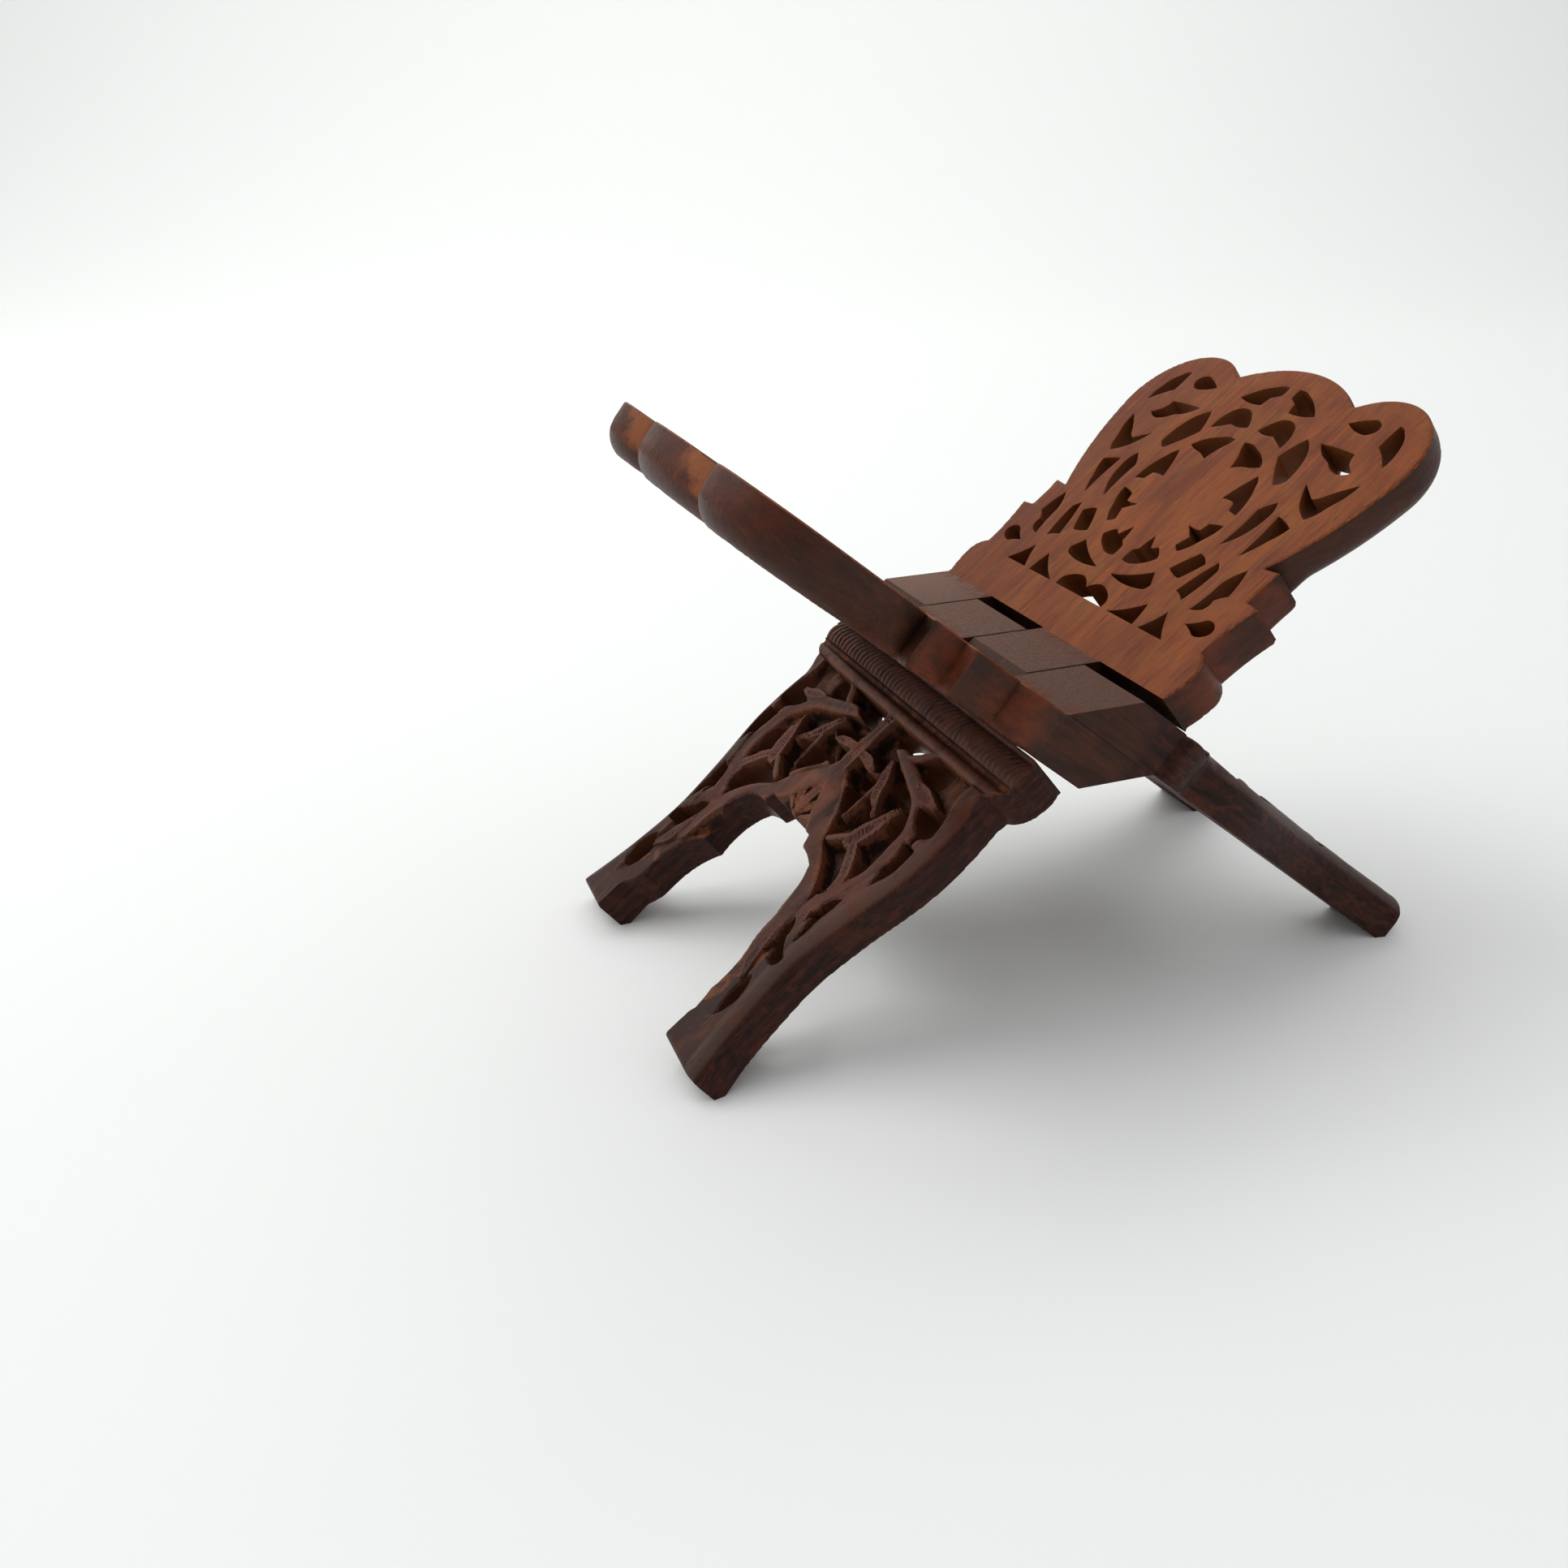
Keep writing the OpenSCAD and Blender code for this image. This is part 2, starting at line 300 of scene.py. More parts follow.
def solid_mask(face, segments):
    """Grid points in the solid, by the number of outline crossings before them."""
    toggles = np.zeros((face.shape[0], face.shape[1] + 1), int)
    for a, b in segments:
        (y0, v0), (y1, v1) = sorted((tuple(a), tuple(b)))
        i0, i1 = (math.ceil((y - face.low[0]) / CELL) for y in (y0, y1))
        if i1 > i0:
            rows = np.arange(i0, i1)
            v = v0 + (v1 - v0) * (rows * CELL + face.low[0] - y0) / (y1 - y0)
            columns = np.clip(np.ceil((v - face.low[1]) / CELL), 0, face.shape[1]).astype(int)
            np.add.at(toggles, (rows, columns), 1)
    return toggles.cumsum(1)[:, :-1] % 2 == 1


def spread_points(face, inset, spacing, reach):
    """Evenly spread points in the solid, off its outline and no further in than reach."""
    rows = np.arange(face.low[0], -face.low[0], spacing * math.sqrt(0.75))
    along = np.arange(face.low[1], face.low[1] + face.shape[1] * CELL, spacing)
    y = np.repeat(rows, len(along))
    v = (along[None, :] + (np.arange(len(rows)) % 2)[:, None] * spacing / 2).ravel()
    d = face.sample(inset, y, v)
    keep = (d > 0.45 * spacing) & (d < reach) & (np.abs(v) > BAND - 0.6)
    return np.column_stack((y[keep], v[keep]))


def fill(points, ring, face, solid):
    """Triangles over the solid part of a face, counter-clockwise in (y, v), as indices of the points."""
    _, _, tris, origin, _, _ = delaunay_2d_cdt([Vector(p) for p in points], ring, [], 0, 1e-6, True)
    tris = np.array([[origin[i][0] for i in t] for t in tris])
    fixed = {frozenset(e) for e in ring}
    beside = {}
    for k, t in enumerate(tris.tolist()):
        for e in ((t[0], t[1]), (t[1], t[2]), (t[2], t[0])):
            beside.setdefault(frozenset(e), []).append(k)
    near = [[] for _ in tris]
    for e, pair in beside.items():
        if len(pair) == 2:
            near[pair[0]].append((pair[1], e in fixed))
            near[pair[1]].append((pair[0], e in fixed))
    a, b, c = (points[tris[:, i]] for i in range(3))
    area = (b - a)[:, 0] * (c - a)[:, 1] - (b - a)[:, 1] * (c - a)[:, 0]
    spot = np.round(((a + b + c) / 3 - face.low) / CELL).astype(int)
    spot = np.clip(spot, 0, np.array(face.shape) - 1)
    start = int(np.argmax(np.abs(area) * solid[spot[:, 0], spot[:, 1]]))
    keep = np.full(len(tris), -1)
    keep[start] = 1
    reached = [start]
    for k in reached:
        for m, crosses in near[k]:
            if keep[m] < 0:
                keep[m] = 1 - keep[k] if crosses else keep[k]
                reached.append(m)
    return tris[keep == 1]


class LeafMesh:
    """A leaf rebuilt from its CAD node: the same solid, its broad faces filled with small even triangles."""

    def __init__(self, node, turn):
        cad, self.tris, self.column = welded(node, turn)
        self.cad, self.points = cad, list(cad)
        self.faces, self.cuts = [], {}
        self.used = np.zeros(len(self.tris), bool)

    def edges_at(self, level, outward):
        u, v = self.cad[self.tris][:, :, 0], self.cad[self.tris][:, :, 2]
        on = (np.abs(u - level).max(1) < 0.02) & (v.mean(1) * -outward > 0)
        self.used |= on
        return boundary(self.tris[on])

    def outline(self, outward):
        """Outline of one slab, and its edges on the carved and the plain side."""
        out, under = self.edges_at(THICK * outward, outward), self.edges_at(KERF * outward, outward)
        c = self.column
        links = {c[a]: c[b] for a, b in out.items()}
        walls = {frozenset((c[a], c[b])) for a, b in under.items() if links.get(c[b]) == c[a]}
        self.used |= np.array([frozenset(c[t]) in walls for t in self.tris])
        return Outline(links, {i: self.cad[i][1:] for i in set(c)}, walls), out, under

    def add(self, u, p):
        self.points.append(np.array((u, p[0], p[1])))
        return len(self.points) - 1

    def cover(self, outline, edges, u, face, spacing, reach, step, flip):
        """Fills one side of a slab with triangles, and notes the points that cut each of its CAD edges."""
        ids, ring = [], []
        for loop in closed_loops(edges):
            start = len(ids)
            for a, b in zip(loop, loop[1:] + loop[:1]):
                ca, cb = self.column[a], self.column[b]
                if outline.links.get(ca) == cb:
                    line = outline.samples(ca, cb, step)
                elif outline.links.get(cb) == ca:
                    line = outline.samples(cb, ca, step)[::-1]
                else:
                    line = self.cad[[a, b], 1:]
                cut = [a] + [self.add(u, p) for p in line[1:-1]] + [b]
                self.cuts[(a, b)] = cut
                ids += cut[:-1]
            n = len(ids) - start
            ring += [(start + i, start + (i + 1) % n) for i in range(n)]
        at = np.array([self.points[i][1:] for i in ids])
        segments = [(at[i], at[j]) for i, j in ring]
        solid = solid_mask(face, segments)
        inset = face.distance(segments, 3) * np.where(solid, 1, -1)
        inner = spread_points(face, inset, spacing, reach)
        ids += [self.add(u, p) for p in inner]
        tris = fill(np.concatenate((at, inner)), ring, face, solid)
        self.faces += [tuple(ids[i] for i in (t[::-1] if flip else t)) for t in tris.tolist()]

    def slab(self, outline, out, under, face, outward, spacing):
        self.cover(outline, out, THICK * outward, face, spacing, 99, spacing, outward < 0)
        self.cover(outline, under, KERF * outward, face, PLAIN_SPACING, 1.4, spacing, outward > 0)
        at_plain = {(self.column[b], self.column[a]): cut[::-1] for (a, b), cut in self.cuts.items()
                    if a in under and under[a] == b}
        for a, b in out.items():
            pair = (self.column[a], self.column[b])
            if frozenset(pair) in outline.walls:
                top, low = self.cuts[(a, b)], at_plain[pair]
                for k in range(len(top) - 1):
                    self.faces.append((top[k + 1], top[k], low[k], low[k + 1]))

    def finish(self):
        """Adds the CAD triangles that were left as they are, their cut edges followed."""
        for t in self.tris[~self.used].tolist():
            ring = []
            for a, b in ((t[0], t[1]), (t[1], t[2]), (t[2], t[0])):
                ring += self.cuts[(b, a)][::-1][:-1] if (b, a) in self.cuts else [a]
            self.faces.append(tuple(ring))
        names = sorted({i for f in self.faces for i in f})
        order = {i: k for k, i in enumerate(names)}
        return np.array([self.points[i] for i in names]), [tuple(order[i] for i in f) for f in self.faces]


# ---------------------------------------------------------------- carving

# Strands of the legs, right half: points as (y, v, half width), then depth of the higher edge, drop to the
# lower one, and depth of the groove along the middle
LEG_STRANDS = [
    # broad pointed arch and the palmette inside it
    ([(0, -69, 4.5), (8, -77, 5.5), (15, -85.5, 5.6), (22, -93, 4.8), (31, -98.5, 4.2), (38, -106, 4.6),
      (42, -114, 4.2), (44, -128, 4.2)], 0.5, 1.0, 0.0),
    ([(1, -75, 1.6), (0.5, -82, 2.2), (0.5, -91, 1.4)], 1.2, 1.0, 0.7),
    ([(2, -89, 1.0), (5, -85, 2.0), (7, -80, 1.2)], 1.4, 1.0, 0.5),
    ([(4, -91, 0.8), (9, -88, 1.6), (12, -85, 0.8)], 1.6, 0.8, 0.0),
    # centre stem with its bud and leaf
    ([(0, -41, 3.2), (0, -50, 2.2), (0, -57, 3.4), (0, -66, 3.2)], 0.9, 1.2, 0.8),
    ([(3, -58.6, 1.4), (9, -59.2, 2.0), (15, -60.6, 1.6), (20, -59.4, 0.6)], 0.6, 0.9, 0.6),
    # outer scroll, its leaf and its curl
    ([(16, -48.5, 1.6), (24, -49.5, 2.8), (33, -52.4, 3.2), (42, -54.4, 3.4), (49, -58.6, 3.6),
      (55.6, -67, 3.4), (57, -77, 3.6), (57.4, -88, 3.6), (53.6, -97, 3.8), (48.6, -108, 3.6),
      (49.6, -118, 2.8)], 0.5, 1.5, 0.0),
    ([(42, -52.6, 0.8), (48, -54.2, 2.6), (54, -55.4, 2.0), (58.6, -55.4, 0.4)], 0.2, 0.9, 0.8),
    ([(24, -50, 1.4), (29.5, -47, 1.6), (33, -43.5, 1.5), (36, -41, 1.2)], 0.5, 0.8, 0.0),
    # blades and ribs of the inner scroll
    ([(21, -54, 1.2), (25, -60.6, 2.4), (29.6, -66.6, 2.0), (35.4, -71.4, 0.8)], 0.5, 1.2, 0.4),
    ([(24.6, -60, 0.9), (23.8, -69, 0.9), (22.6, -79, 0.9)], 0.6, 0.6, 0.0),
    ([(44, -64, 0.8), (41.6, -72, 3.0), (38.6, -80, 3.4), (35.6, -87, 1.0)], 0.6, 1.8, 0.5),
    ([(26.6, -88, 1.2), (31, -85, 1.4), (36, -81, 1.0)], 0.7, 0.8, 0.0),
    ([(40.6, -83, 2.0), (46, -88.6, 2.4), (49.4, -94, 2.4), (49, -103, 2.6)], 0.6, 1.0, 0.6),
    ([(8, -70, 1.0), (14, -74, 1.4), (20, -83, 1.0)], 1.2, 0.6, 0.0),
    # foliage that runs down into the leg
    ([(50.4, -110, 1.6), (54.6, -122, 2.6), (55, -133, 2.0), (55, -138, 0.8)], 0.4, 0.8, 0.5),
    ([(45, -122, 1.0), (47.6, -134, 2.4), (52, -141, 1.0)], 0.5, 0.8, 0.5),
]

# Strands of the book rest's outer side, right half, written in the same way
REST_STRANDS = [
    ([(0, 41, 2.0), (0, 50, 3.2), (0, 58, 2.0)], 0.4, 0.8, 0.7),
    ([(20, 52, 1.4), (27, 58, 2.4), (36, 76, 2.4), (35, 92, 2.2), (31, 106, 2.4), (22, 116, 2.2),
      (8, 124, 2.2), (0, 126, 2.2)], 0.4, 1.0, 0.6),
    ([(0, 138, 2.0), (0, 146, 2.6), (0, 156, 1.2)], 0.4, 0.8, 0.6),
    ([(8, 136.6, 1.6), (20, 136.4, 2.4), (31, 133, 2.2), (36, 127, 1.6), (48, 117, 2.4), (60, 117, 1.6)],
     0.4, 1.0, 0.6),
    ([(52, 72, 1.4), (60, 88, 2.4), (60, 97, 2.2), (48, 102, 2.2), (42, 110, 1.6)], 0.4, 1.0, 0.6),
    ([(47, 132, 1.4), (55, 133, 2.4), (60, 128, 1.6)], 0.4, 0.8, 0.5),
]
MEDALLION = (0.0, 93.0)
MEDALLION_RADIUS = 15.0


def varied(points, rng, side):
    """A strand moved to one half and made a little uneven, as cut by hand."""
    p = np.array(points, float)
    p[:, :2] += rng.uniform(-0.35, 0.35, (len(p), 2))
    p[:, 2] *= rng.uniform(0.92, 1.08, len(p))
    p[:, 0] *= side
    return curve(p)


def strands(face, depth, table, seed):
    rng = np.random.default_rng(seed)
    for points, top, drop, vein in table:
        for side in (1, -1):
            line = varied(points, rng, side)
            slant = rng.choice((-1, 1)) * rng.uniform(0.3, 1)
            face.raise_strand(depth, line, top + rng.uniform(-0.1, 0.2), 1.3 * drop, vein, slant)


def rope(face, seed):
    """Collar band under the hinge: a half-round rope cut with crescents, a groove and a bead."""
    y, v = face.y, face.v
    q = np.clip((v + 29.0) / 5.6, -1, 1)
    body = np.where(np.abs(q) < 1, 1.9 * (1 - np.sqrt(1 - q * q)), 0.0)
    phase = (y - 0.35 * (v + 29) - 2.4 * q * q + face.rough(seed, 8.0, 0.7)) / 3.1
    bite = 0.5 + 0.8 * smooth(-y, -10, 45) + face.rough(seed + 7, 14.0, 0.25)
    cut = np.clip(1 - np.abs(np.sin(np.pi * phase)) * 1.7, 0, 1) * bite
    crescents = (body + cut * np.sqrt(1 - q * q)) * smooth(-v, 23.2, 24.2)
    groove = 1.7 * smooth(v, -37.4, -36.6) * (1 - smooth(v, -35.2, -34.4))
    bead = np.where((v < -37.0) & (v > -41.4), quarter_round(2.2 - np.abs(v + 39.2), 2.2, 1.5), 0)
    return crescents + groove + bead + face.zeros()


class Carving:
    """Relief of one carved face. Fields are kept on a grid and read at any point of the face."""

    def __init__(self, outline, v0, v1):
        self.face = Face(v0, v1)
        rim, *holes = outline.segments()
        self.rim = [(a, b) for a, b in rim if max(abs(a[1]), abs(b[1])) > BAND + 0.1]
        holes = [s for hole in holes for s in hole]
        self.solid = solid_mask(self.face, rim + holes)
        self.fields = {"hole": self.inset(holes, 6), "near": self.inset(rim + holes, 2)}

    def inset(self, segments, reach):
        """Distance in from some of the outline, below zero just outside it."""
        d = self.face.distance(segments, reach)
        return np.where((d < 2 * CELL) & ~self.solid, -d, d)

    def read(self, y, v):
        return {name: self.face.sample(field, y, v) for name, field in self.fields.items()}

    def at(self, y, v):
        """Depth below the plank's face on the carved side, and on the plain side, at the points."""
        fields = {name: np.maximum(f, 0) for name, f in self.read(y, v).items()}
        return self.depth(v, fields), self.plain(v, fields)

    def marks(self, y, v, reach=1.6):
        """How sunk the carving is at the points, and how far it stands over its surroundings."""
        sunk = self.fields["carved"]
        return self.face.sample(sunk, y, v), self.face.sample(blurred(sunk, reach) - sunk, y, v)


class LegCarving(Carving):
    """Outer side of the legs: the collar, pierced scrolls inside a plain rail, and wide rounded arrises."""

    def __init__(self, outline, seed):
        super().__init__(outline, -180.0, 4.0)
        face, y, v = self.face, np.abs(self.face.y), self.face.v
        side = self.inset([s for s in self.rim if abs(s[0][0]) > 60 and not self.at_foot(s)], 16)
        arch = self.inset([s for s in self.rim if abs(s[0][0]) < 50 and not self.at_foot(s)], 16)
        foot = self.inset([s for s in self.rim if self.at_foot(s)], 8)
        rail = 7.0 + 3.5 * smooth(-v, 50, 110)
        shoulder = np.maximum(smooth(y, 44, 50) * smooth(v, -78, -68),
                              smooth(y, 28, 34) * smooth(v, -60, -52))
        carved = mix(LEG_GROUND, SHOULDER_GROUND, shoulder) * smooth(side, rail, rail + 1.2)
        carved = carved * smooth(-v, 41.2, 42.2) * (1 - smooth(-v, 112, 140))
        low_strip = smooth(-v, 96, 104) * (1 - smooth(-v, 154, 164))
        carved = np.maximum(carved, 2.0 * smooth(side, rail, rail + 2) * low_strip)
        strands(face, carved, LEG_STRANDS, seed)
        carved = carved + rope(face, seed + 1)
        carved += face.rough(seed + 2, 5.0, 0.16) + face.rough(seed + 3, 2.2, 0.08)
        self.fields.update(side=side, arch=arch, foot=foot, carved=carved)

    @staticmethod
    def at_foot(segment):
        """True for the sawn end of a leg, which runs across the plank."""
        (y0, v0), (y1, v1) = segment
        return max(v0, v1) < FOOT and abs(y1 - y0) > abs(v1 - v0)

    def depth(self, v, f):
        arris = mix(1.3, 7.5, smooth(-v, 41, 52))
        d = f["carved"] + quarter_round(f["hole"], 1.3, 0.9) + quarter_round(f["arch"], 1.3, 1.0)
        d = np.hypot(d, quarter_round(f["side"], arris, arris))
        d = np.hypot(d, quarter_round(f["foot"], 2.4, 1.8))
        return np.clip(d, 0, 12) * smooth(-v, BAND + 0.1, BAND + 1.6)

    def plain(self, v, f):
        rim = np.minimum(np.minimum(f["side"], f["arch"]), f["foot"])
        d = np.maximum(quarter_round(rim, 1.2, 0.8), quarter_round(f["hole"], 0.9, 0.35))
        return d * smooth(-v, BAND + 0.1, BAND + 1.6)


class RestCarving(Carving):
    """Outer side of the book rest: a plain rim round shallow scrolls and a flower."""

    def __init__(self, outline, seed):
        super().__init__(outline, -4.0, 163.0)
        face, v = self.face, self.face.v
        edge = self.inset(self.rim, 16)
        carved = REST_GROUND * smooth(edge, 8, 10.5) * smooth(v, 37.5, 39.0)
        strands(face, carved, REST_STRANDS, seed)
        carved = np.minimum(carved, medallion(face))
        carved += np.where((v > 30) & (v < 33.4), quarter_round(1.7 - np.abs(v - 31.7), 1.7, 1.1), 0)
        carved += face.rough(seed + 2, 5.0, 0.16) + face.rough(seed + 3, 2.2, 0.08)
        self.fields.update(edge=edge, carved=carved)

    def depth(self, v, f):
        arris = mix(2.2, 10.5, smooth(v, 76, 92))
        d = f["carved"] + quarter_round(f["hole"], 1.3, 0.9)
        d = np.hypot(d, quarter_round(f["edge"], arris, arris))
        return np.clip(d, 0, 11) * smooth(v, BAND + 0.1, BAND + 1.6)

    def plain(self, v, f):
        d = np.maximum(quarter_round(f["edge"], 1.1, 0.6), quarter_round(f["hole"], 0.8, 0.22))
        return d * smooth(v, BAND + 0.1, BAND + 1.6)


def medallion(face):
    """Eight-petalled flower in the middle of the book rest's outer side."""
    dy, dv = face.y - MEDALLION[0], face.v - MEDALLION[1]
    r = np.hypot(dy, dv)
    petal = np.abs(np.cos(4 * np.arctan2(dy, dv)))
    flower = 0.5 + 1.6 * (1 - petal ** 0.7) + 0.5 * smooth(r, 3, 12)
    flower = np.where(r < 3.4, 0.3 + 0.08 * r ** 2, flower)
    flower = np.where(np.abs(r - 3.9) < 0.5, 2.2, flower)
    return np.where(r < MEDALLION_RADIUS, flower, 4 + 3 * (r - MEDALLION_RADIUS))


# ---------------------------------------------------------------- leaf

def attribute(mesh, name, values):
    layer = mesh.attributes.new(name, "FLOAT", "POINT")
    layer.data.foreach_set("value", np.asarray(values, np.float32))


def leaf(name, node_name, body, turn, seed):
    build = LeafMesh(frame["nodes"][node_name], turn)
    carvings = []
    for outward, kind, spacing in ((1, LegCarving, LEG_SPACING), (-1, RestCarving, REST_SPACING)):
        outline, out, under = build.outline(outward)
        carving = kind(outline, seed + 10 * outward)
        build.slab(outline, out, under, carving.face, outward, spacing)
        carvings.append((outward, carving))
    co, faces = build.finish()

    carved, height, inner = np.zeros(len(co)), np.zeros(len(co)), np.zeros(len(co))
    # the points that stand on the floor stay where they are
    above_floor = from_plank(co, turn)[:, 2] > 5e-5
    for outward, carving in carvings:
        rows = (co[:, 0] * outward > KERF - 0.05) & (co[:, 2] * -outward > BAND - 0.01) & above_floor
        u, y, v = co[rows].T
        depth, plain = carving.at(y, v)
        t = (u * outward - KERF) / (THICK - KERF)
        co[rows, 0] = outward * (KERF + plain + (THICK - KERF - depth - plain) * t)
        off_edge = smooth(carving.read(y, v)["near"], 0.1, 0.5) * t
        sunk, stands = carving.marks(y, v)
        carved[rows] = np.clip(sunk / LEG_GROUND, 0, 1) * off_edge
        height[rows] = stands * off_edge
        inner[rows] = 1 - smooth(carving.read(y, v)["hole"], 0.2, 0.8)

    mesh = bpy.data.meshes.new(name)
    mesh.from_pydata(from_plank(co, turn), [], faces)
    attribute(mesh, "carved", carved)
    attribute(mesh, "height", np.clip(0.5 + height / 2, 0, 1))
    attribute(mesh, "inner", inner)
    mesh.polygons.foreach_set("use_smooth", np.ones(len(mesh.polygons), bool))
    mesh.set_sharp_from_angle(angle=SHARP)
    mesh.update()
    obj = bpy.data.objects.new(name, mesh)
    bpy.context.scene.collection.objects.link(obj)
    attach(obj, body)
    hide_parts(node_name)
    return obj


# ---------------------------------------------------------------- wood

CREST_CORNER = 32.5      # how far from the middle the crest's two inner corners are
# Which output of its node is used
TEXCOORD_NORMAL = 1
TEXCOORD_OBJECT = 3
MIX_COLOUR = 2
ATTRIBUTE_FACTOR = 2
OCCLUSION_VALUE = 1


def rgb(r, g, b):
    return (r, g, b, 1.0)


# Book side: fresh heartwood
HEART_RED = rgb(0.104, 0.0205, 0.004)
HEART_ORANGE = rgb(0.270, 0.067, 0.0125)
BROWN_SMEAR = rgb(0.135, 0.029, 0.008)
YELLOW_PATCH = rgb(0.230, 0.078, 0.012)
FAR_BROWN = rgb(0.118, 0.030, 0.012)
DARK_STREAK = rgb(0.070, 0.018, 0.006)
BRIGHT_STREAK = rgb(0.32, 0.088, 0.016)
ORANGE_FIBRE = rgb(0.24, 0.056, 0.012)
# Stained sides and edges
STAIN_DARK = rgb(0.034, 0.013, 0.008)
STAIN_RED = rgb(0.088, 0.025, 0.012)
STAIN_GREY = rgb(0.036, 0.018, 0.013)
STAIN_STREAK = rgb(0.026, 0.011, 0.008)
WORN_RED = rgb(0.170, 0.037, 0.014)
BARE_ORANGE = rgb(0.29, 0.088, 0.027)
# painted grey sheen on the crest's rounded rim
CREST_SHEEN = rgb(0.150, 0.118, 0.102)
RED_CAST = rgb(0.120, 0.032, 0.013)
# Legs
LEG_DARK = rgb(0.034, 0.0115, 0.0065)
LEG_BROWN = rgb(0.102, 0.029, 0.015)
LEG_GREY = rgb(0.074, 0.034, 0.023)
FOOT_DARK = rgb(0.030, 0.013, 0.010)
# painted orange highlight on the palmette and bud
PALMETTE_HIGHLIGHT = rgb(0.205, 0.058, 0.020)
# painted satin sheen along the legs' arris
ARRIS_SHEEN = rgb(0.118, 0.076, 0.062)
LEG_EDGE_DARK = rgb(0.013, 0.005, 0.004)
LEG_EDGE_RED = rgb(0.055, 0.013, 0.007)
LEG_EDGE_MOTTLE = rgb(0.018, 0.008, 0.006)
LEG_EDGE_DENT = rgb(0.085, 0.020, 0.011)
# Sawn flats of the knuckles
SAWN_DARK = rgb(0.085, 0.044, 0.030)
SAWN_LIGHT = rgb(0.165, 0.090, 0.064)
# painted shade at the near end of the flats and painted light at their far end
SAWN_NEAR_SHADE = rgb(0.066, 0.031, 0.022)
SAWN_FAR_LIGHT = rgb(0.200, 0.115, 0.085)
SAWN_CHIPPED = rgb(0.120, 0.030, 0.017)
SEAM_DARK = rgb(0.020, 0.010, 0.008)
# Cuts, painted shade in the carving, rubbed tops with a painted highlight, and chips
REST_WALL = rgb(0.20, 0.060, 0.016)
LEG_WALL = rgb(0.105, 0.032, 0.012)
SCRIBED_LINE = rgb(0.012, 0.006, 0.005)
PORE_DARK = rgb(0.02, 0.008, 0.005)
# painted shade in the sunk ground of the carving
SUNK_GROUND_SHADE = rgb(0.026, 0.011, 0.007)
# painted shade in the hollows of the carving
HOLLOW_SHADE = rgb(0.012, 0.007, 0.005)
# painted shade in the crevices of the carving
CREVICE_SHADE = rgb(0.022, 0.009, 0.005)
# rubbed tops, partly a painted highlight
RUBBED_TOP_HIGHLIGHT = rgb(0.150, 0.056, 0.032)
CHIP_ORANGE = rgb(0.19, 0.055, 0.018)


class Nodes:
    """Short way to build a node tree: each method adds a node or a few and returns the last one's output."""

    def __init__(self, name):
        self.material = bpy.data.materials.new(name)
        self.material.use_nodes = True
        self.tree = self.material.node_tree
        self.shader = self.tree.nodes["Principled BSDF"]

    def put(self, socket, value):
        if isinstance(value, bpy.types.NodeSocket):
            self.tree.links.new(value, socket)
        elif value is not None:
            socket.default_value = value

    def add(self, kind, inputs=(), out=0, **settings):
        node = self.tree.nodes.new(kind)
        for key, value in settings.items():
            setattr(node, key, value)
        for key, value in dict(inputs).items():
            self.put(node.inputs[key], value)
        return node.outputs[out]

    def math(self, kind, a, b=None, clamp=False):
        return self.add("ShaderNodeMath", {0: a, 1: b}, operation=kind, use_clamp=clamp)

    def times(self, *factors):
        product = factors[0]
        for factor in factors[1:]:
            product = self.math("MULTIPLY", product, factor)
        return product

    def plus(self, *terms):
        total = terms[0]
        for term in terms[1:]:
            total = self.math("ADD", total, term)
        return total

    def size_of(self, value):
        return self.math("ABSOLUTE", value)

    def wrap(self, value, lo, hi):
        """The value brought between lo and hi by whole steps of hi - lo."""
        return self.add("ShaderNodeMath", {0: value, 1: lo, 2: hi}, operation="WRAP")

    def ramp(self, value, lo, hi, to_lo=0.0, to_hi=1.0):
        return self.add("ShaderNodeMapRange", {0: value, 1: lo, 2: hi, 3: to_lo, 4: to_hi},
                        interpolation_type="SMOOTHSTEP")

    def band(self, value, lo, hi, soft):
        """1 between lo and hi, falling off either side."""
        return self.times(self.ramp(value, lo - soft, lo), self.ramp(value, hi + soft, hi))

    def colour(self, factor, a, b):
        return self.add("ShaderNodeMix", {0: factor, 6: a, 7: b}, out=MIX_COLOUR, data_type="RGBA")

    def split(self, vector, count):
        """The first few components of a vector."""
        return [self.add("ShaderNodeSeparateXYZ", {0: vector}, out=i) for i in range(count)]

    def mapped(self, vector, scale=(1, 1, 1), turn=(0, 0, 0), move=(0, 0, 0)):
        return self.add("ShaderNodeMapping", {"Vector": vector, "Location": move, "Rotation": turn,
                                              "Scale": scale}, vector_type="POINT")

    def noise(self, vector, detail, rough):
        return self.add("ShaderNodeTexNoise", {"Vector": vector, "Scale": 1.0, "Detail": detail,
                                               "Roughness": rough, "Distortion": 0.0})

    def attribute(self, name):
        return self.add("ShaderNodeAttribute", out=ATTRIBUTE_FACTOR, attribute_name=name)


